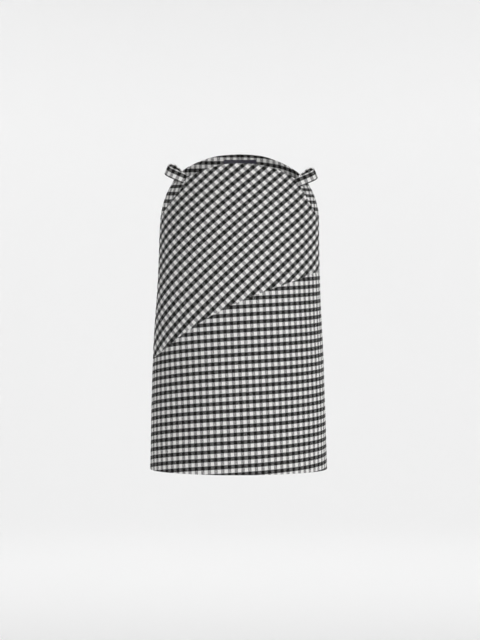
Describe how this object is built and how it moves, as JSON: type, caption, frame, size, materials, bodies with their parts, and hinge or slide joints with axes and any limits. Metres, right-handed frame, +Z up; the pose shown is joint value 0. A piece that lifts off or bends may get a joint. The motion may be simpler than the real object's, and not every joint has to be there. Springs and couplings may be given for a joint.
{
  "type": "checked skirt",
  "caption": "Knee-length skirt in checked cloth, filled out as worn, with a slanting seam across the front, a curved waist edge faced inside the back, and a strap loop standing out at each hip.",
  "frame": {"origin": "the middle of the waist opening, near the height of the top edge's low points over the hips, where the wearer's waist holds the skirt", "axes": "+Z up the skirt, -Y out of its front, +X to the wearer's left"},
  "size_m": [0.3882, 0.2597, 0.7035],
  "materials": {
    "checked_cloth": "matt woven cotton, yarn-dyed black and white check on grain",
    "checked_cloth_bias": "the same cloth cut on the bias",
    "label_cloth": "smooth dark woven label, bare"
  },
  "bodies": {
    "root": {"front_upper": "checked_cloth_bias", "front_lower": "checked_cloth", "back_left": "checked_cloth", "back_right": "checked_cloth", "back_facing_left": "checked_cloth", "back_facing_right": "checked_cloth", "label": "label_cloth", "loop_left": "checked_cloth", "loop_right": "checked_cloth"}
  },
  "joints": []
}
